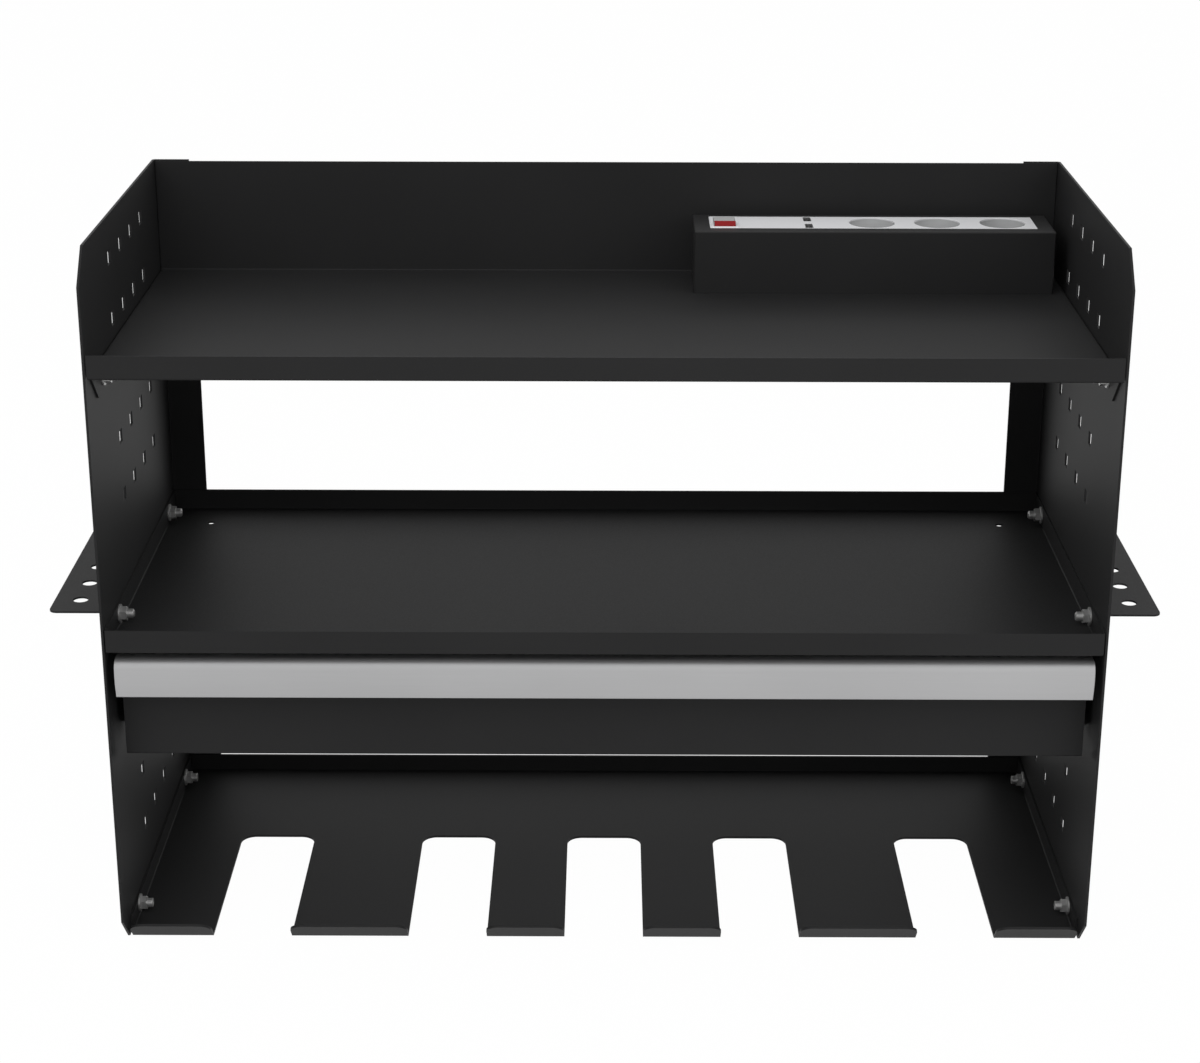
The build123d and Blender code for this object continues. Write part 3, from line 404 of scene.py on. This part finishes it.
def softenedNode(name, edge, seam=None):
    source = nodes[name]
    mesh = source.data.copy()
    mesh.name = name + "Soft"
    shape = bmesh.new()
    shape.from_mesh(mesh)
    bmesh.ops.remove_doubles(shape, verts=shape.verts, dist=softEdges["mergeWithin"])
    bmesh.ops.dissolve_limit(
        shape, angle_limit=math.radians(softEdges["flatWithin"]), verts=shape.verts, edges=shape.edges)
    if seam:
        markCorners(shape, seam)
    shape.to_mesh(mesh)
    shape.free()
    piece = bpy.data.objects.new(name + "Soft", mesh)
    scene.collection.objects.link(piece)
    for face in mesh.polygons:
        face.use_smooth = True
    bevel = piece.modifiers.new("edge", "BEVEL")
    bevel.limit_method = "WEIGHT" if seam else "ANGLE"
    bevel.angle_limit = math.radians(softEdges["sharpFrom"])
    bevel.width = edge
    bevel.segments = softEdges["segments"]
    bevel.profile = softEdges["profile"]
    even = piece.modifiers.new("evenShade", "WEIGHTED_NORMAL")
    even.mode = "FACE_AREA"
    even.weight = softEdges["faceWeight"]
    even.keep_sharp = bool(seam)
    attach(piece, bodyOf[name])
    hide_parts(name)
    return piece


for sheet in softEdges["sheets"]:
    softenedNode(sheet, softEdges["sheetEdge"])
for moulding in softEdges["mouldings"]:
    softenedNode(moulding, softEdges["mouldingEdge"])
for stripPart, seam in softEdges["stripParts"]:
    softenedNode(stripPart, softEdges["stripEdge"], seam)
print("edges softened")


# White room: a plain floor that keeps a faint shadow, a white surround and soft boxes
room = {
    "floorReach": 9.0, "floorColour": (0.90, 0.90, 0.90), "floorWhite": 0.985, "floorGap": 0.0004,
    "fillLevel": 0.62,
    "boxes": (
        {"place": (-0.7, -1.5, 2.3), "aim": (0, 0, 0.3), "size": 2.4, "power": 34.0},
        {"place": (1.6, -1.3, 1.3), "aim": (0, 0, 0.25), "size": 1.6, "power": 8.0},
    ),
}


def whiteRays(tree):
    rays = addNode(tree, "ShaderNodeLightPath")
    first = addNode(tree, "ShaderNodeMath", operation="MAXIMUM")
    second = addNode(tree, "ShaderNodeMath", operation="MAXIMUM")
    tree.links.new(rays.outputs["Is Camera Ray"], first.inputs[0])
    tree.links.new(rays.outputs["Is Glossy Ray"], first.inputs[1])
    tree.links.new(first.outputs[0], second.inputs[0])
    tree.links.new(rays.outputs["Is Transmission Ray"], second.inputs[1])
    return second.outputs[0]


def makeRoom(spec):
    world = bpy.data.worlds.new("whiteRoom")
    scene.world = world
    world.use_nodes = True
    tree = world.node_tree
    tree.nodes.clear()
    fill = addNode(tree, "ShaderNodeBackground")
    fill.inputs["Strength"].default_value = spec["fillLevel"]
    fill.inputs["Color"].default_value = (1, 1, 1, 1)
    white = addNode(tree, "ShaderNodeBackground")
    white.inputs["Color"].default_value = (1, 1, 1, 1)
    mix = addNode(tree, "ShaderNodeMixShader")
    output = addNode(tree, "ShaderNodeOutputWorld")
    tree.links.new(whiteRays(tree), mix.inputs[0])
    tree.links.new(fill.outputs[0], mix.inputs[1])
    tree.links.new(white.outputs[0], mix.inputs[2])
    tree.links.new(mix.outputs[0], output.inputs["Surface"])

    floorShape = bmesh.new()
    bmesh.ops.create_grid(floorShape, x_segments=1, y_segments=1, size=spec["floorReach"])
    bmesh.ops.translate(floorShape, verts=floorShape.verts, vec=(0, 0, cadLow.z - spec["floorGap"]))
    floorMesh = bpy.data.meshes.new("roomFloor")
    floorShape.to_mesh(floorMesh)
    floorShape.free()
    floor = bpy.data.objects.new("roomFloor", floorMesh)
    scene.collection.objects.link(floor)
    paint = bpy.data.materials.new("floorWhite")
    paint.use_nodes = True
    tree = paint.node_tree
    tree.nodes.clear()
    matt = addNode(tree, "ShaderNodeBsdfDiffuse")
    matt.inputs["Color"].default_value = (*spec["floorColour"], 1)
    glow = addNode(tree, "ShaderNodeEmission")
    mix = addNode(tree, "ShaderNodeMixShader")
    share = addNode(tree, "ShaderNodeMath", operation="MULTIPLY")
    share.inputs[1].default_value = spec["floorWhite"]
    output = addNode(tree, "ShaderNodeOutputMaterial")
    tree.links.new(whiteRays(tree), share.inputs[0])
    tree.links.new(share.outputs[0], mix.inputs[0])
    tree.links.new(matt.outputs[0], mix.inputs[1])
    tree.links.new(glow.outputs[0], mix.inputs[2])
    tree.links.new(mix.outputs[0], output.inputs["Surface"])
    floorMesh.materials.append(paint)

    for number, box in enumerate(spec["boxes"]):
        light = bpy.data.lights.new("softBox%d" % number, "AREA")
        light.shape = "SQUARE"
        light.size = box["size"]
        light.energy = box["power"]
        lamp = bpy.data.objects.new("softBox%d" % number, light)
        aim = Vector(box["aim"]) - Vector(box["place"])
        turn = aim.to_track_quat("-Z", "Y").to_matrix().to_4x4()
        lamp.matrix_world = Matrix.Translation(box["place"]) @ turn
        lamp.visible_glossy = False
        scene.collection.objects.link(lamp)


makeRoom(room)
print("room lit")
